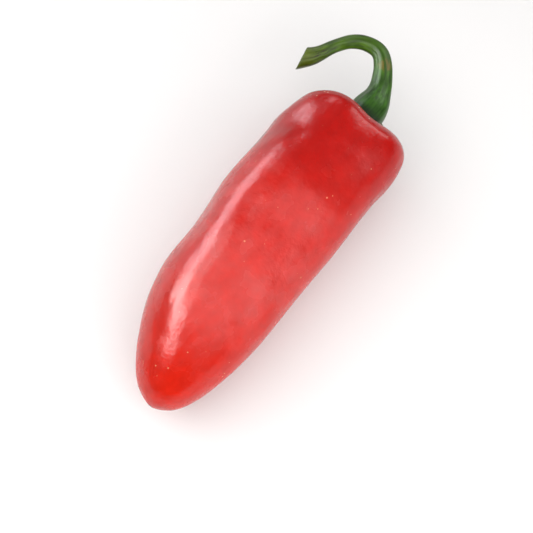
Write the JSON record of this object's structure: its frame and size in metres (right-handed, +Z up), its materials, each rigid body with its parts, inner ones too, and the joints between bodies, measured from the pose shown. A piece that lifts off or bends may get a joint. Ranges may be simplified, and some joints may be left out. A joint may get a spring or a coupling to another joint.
{
  "type": "jalapeno pepper",
  "caption": "Whole ripe red chilli pepper lying on its side: a blunt tapering pod with a toothed calyx and a hooked stem.",
  "frame": {"origin": "on the surface the pepper lies on, under the middle of its bounding box", "axes": "+X along the pod from the blossom end to the stem end, +Z up from the surface, the stem hooks over to +Y"},
  "size_m": [0.1132, 0.04, 0.0342],
  "materials": {
    "pod_skin": "waxy glossy fruit skin, ripe red, with soft broad reflections and faint corky specks",
    "calyx_green": "leathery wrinkled dark green with a paler edge",
    "stem_green": "smooth satin green with faint ribs, brown at the cut end"
  },
  "bodies": {
    "root": {"pod": "pod_skin", "calyx": "calyx_green", "stem": "stem_green"}
  },
  "joints": []
}
